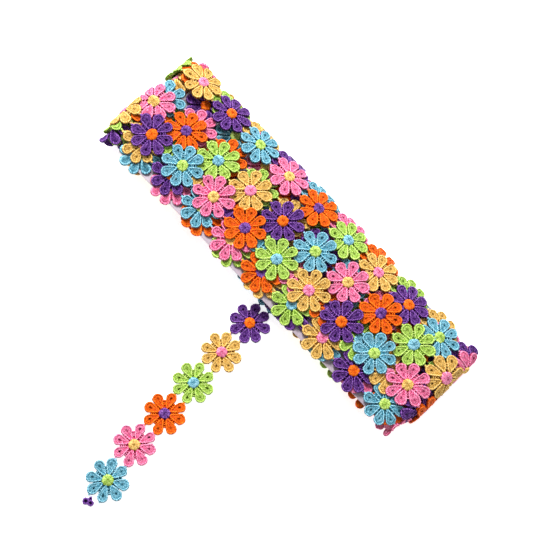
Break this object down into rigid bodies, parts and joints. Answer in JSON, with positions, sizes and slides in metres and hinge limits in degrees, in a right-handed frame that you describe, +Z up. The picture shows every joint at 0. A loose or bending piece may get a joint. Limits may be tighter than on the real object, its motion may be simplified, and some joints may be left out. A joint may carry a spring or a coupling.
{
  "type": "roll of guipure lace trim on a card",
  "caption": "Flat roll of flower-chain guipure lace wound lengthwise round a card, with an end of the trim lying loose beside it.",
  "frame": {"origin": "middle of the roll's flat underside, on the surface it lies on", "axes": "+X along the roll, +Y across it away from the loose end, +Z up"},
  "size_m": [0.2464, 0.2246, 0.0226],
  "materials": {
    "lace": "embroidered polyester thread in six repeating colours, soft satin sheen",
    "card": "smooth white paperboard"
  },
  "bodies": {
    "root": {"wound_lace": "lace", "loose_end": "lace", "card": "card"}
  },
  "joints": []
}
